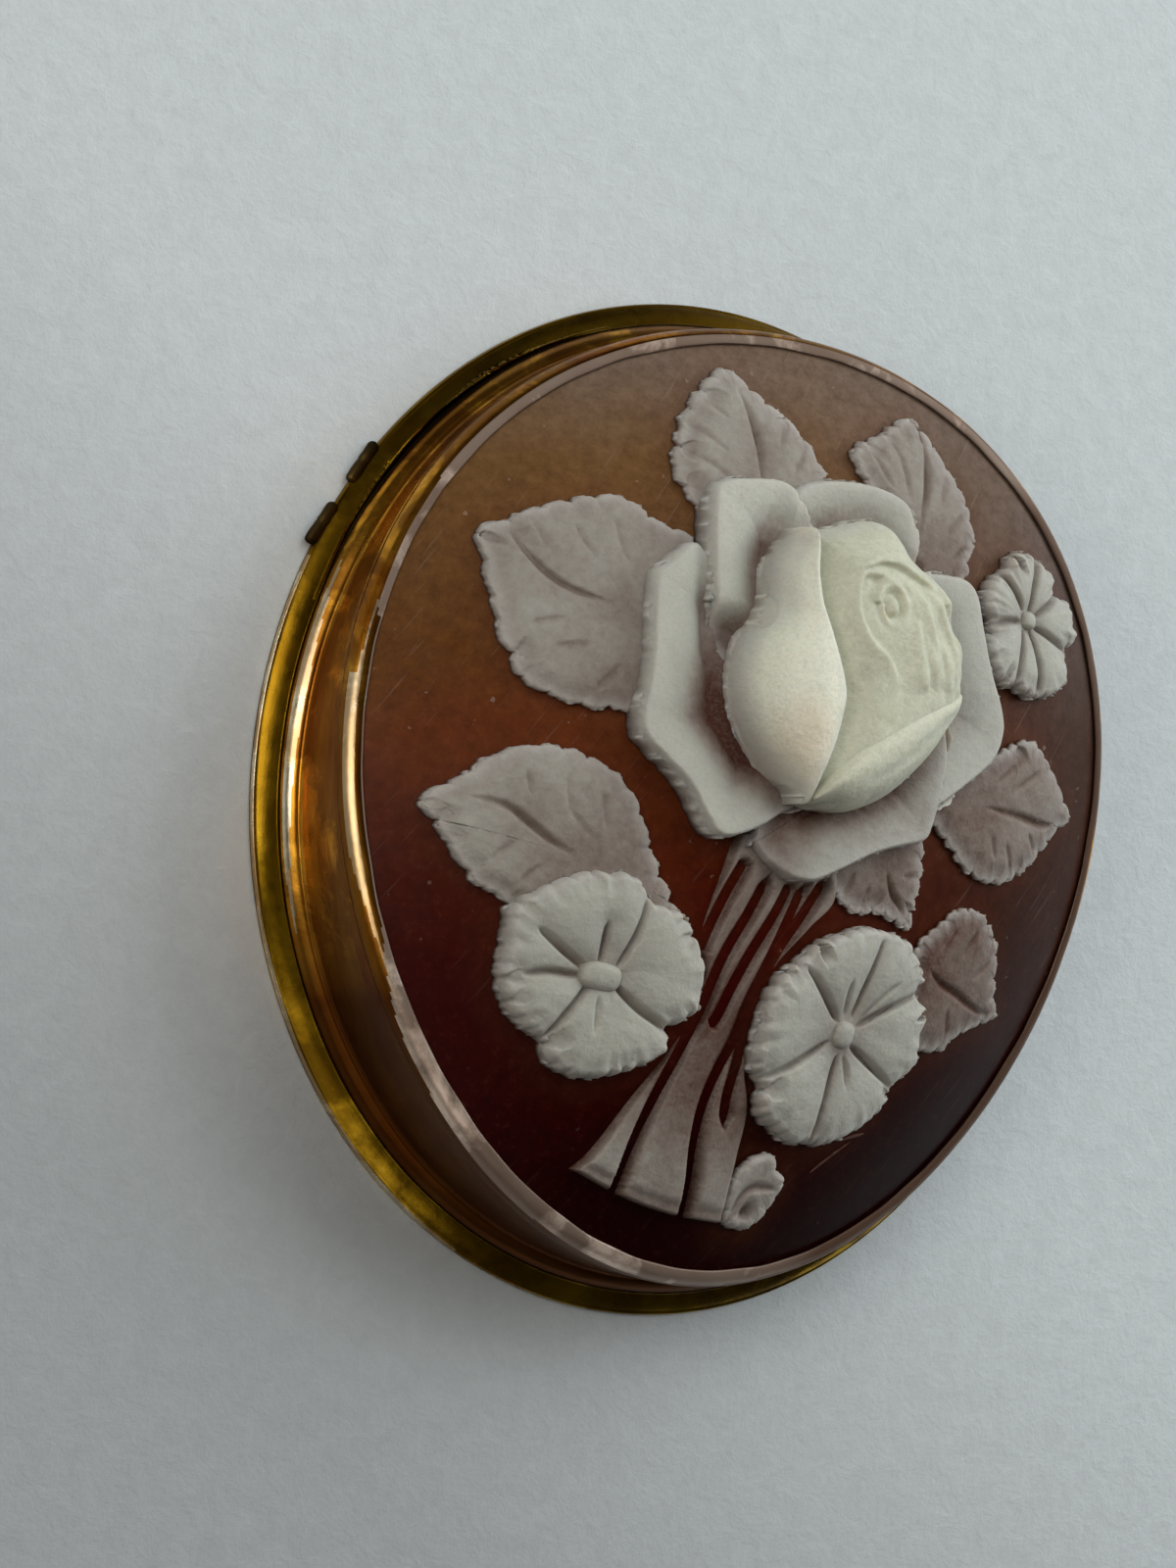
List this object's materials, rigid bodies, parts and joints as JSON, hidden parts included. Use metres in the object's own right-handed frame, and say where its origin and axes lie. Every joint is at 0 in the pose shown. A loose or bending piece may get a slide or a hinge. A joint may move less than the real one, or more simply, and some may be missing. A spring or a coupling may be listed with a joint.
{
  "type": "cameo pendant",
  "caption": "domed oval shell cameo carved with a rose bouquet, in a stepped gold setting with a hanging loop and a pin behind",
  "frame": {"origin": "middle of the box in plan, on the surface that the pendant lies on", "axes": "+Z out of the carved face, +Y to the top of the bouquet, +X to the right seen from the front"},
  "size_m": [0.0418, 0.0442, 0.0143],
  "materials": {
    "gold": "worn polish with brown tarnish",
    "brown_shell": "polished",
    "white_shell": "fine matt carving",
    "pin_gold": "worn polish"
  },
  "bodies": {
    "root": {"mount": "gold", "shell_ground": "brown_shell", "carved_relief": "white_shell", "brooch_pin": "pin_gold"}
  },
  "joints": []
}
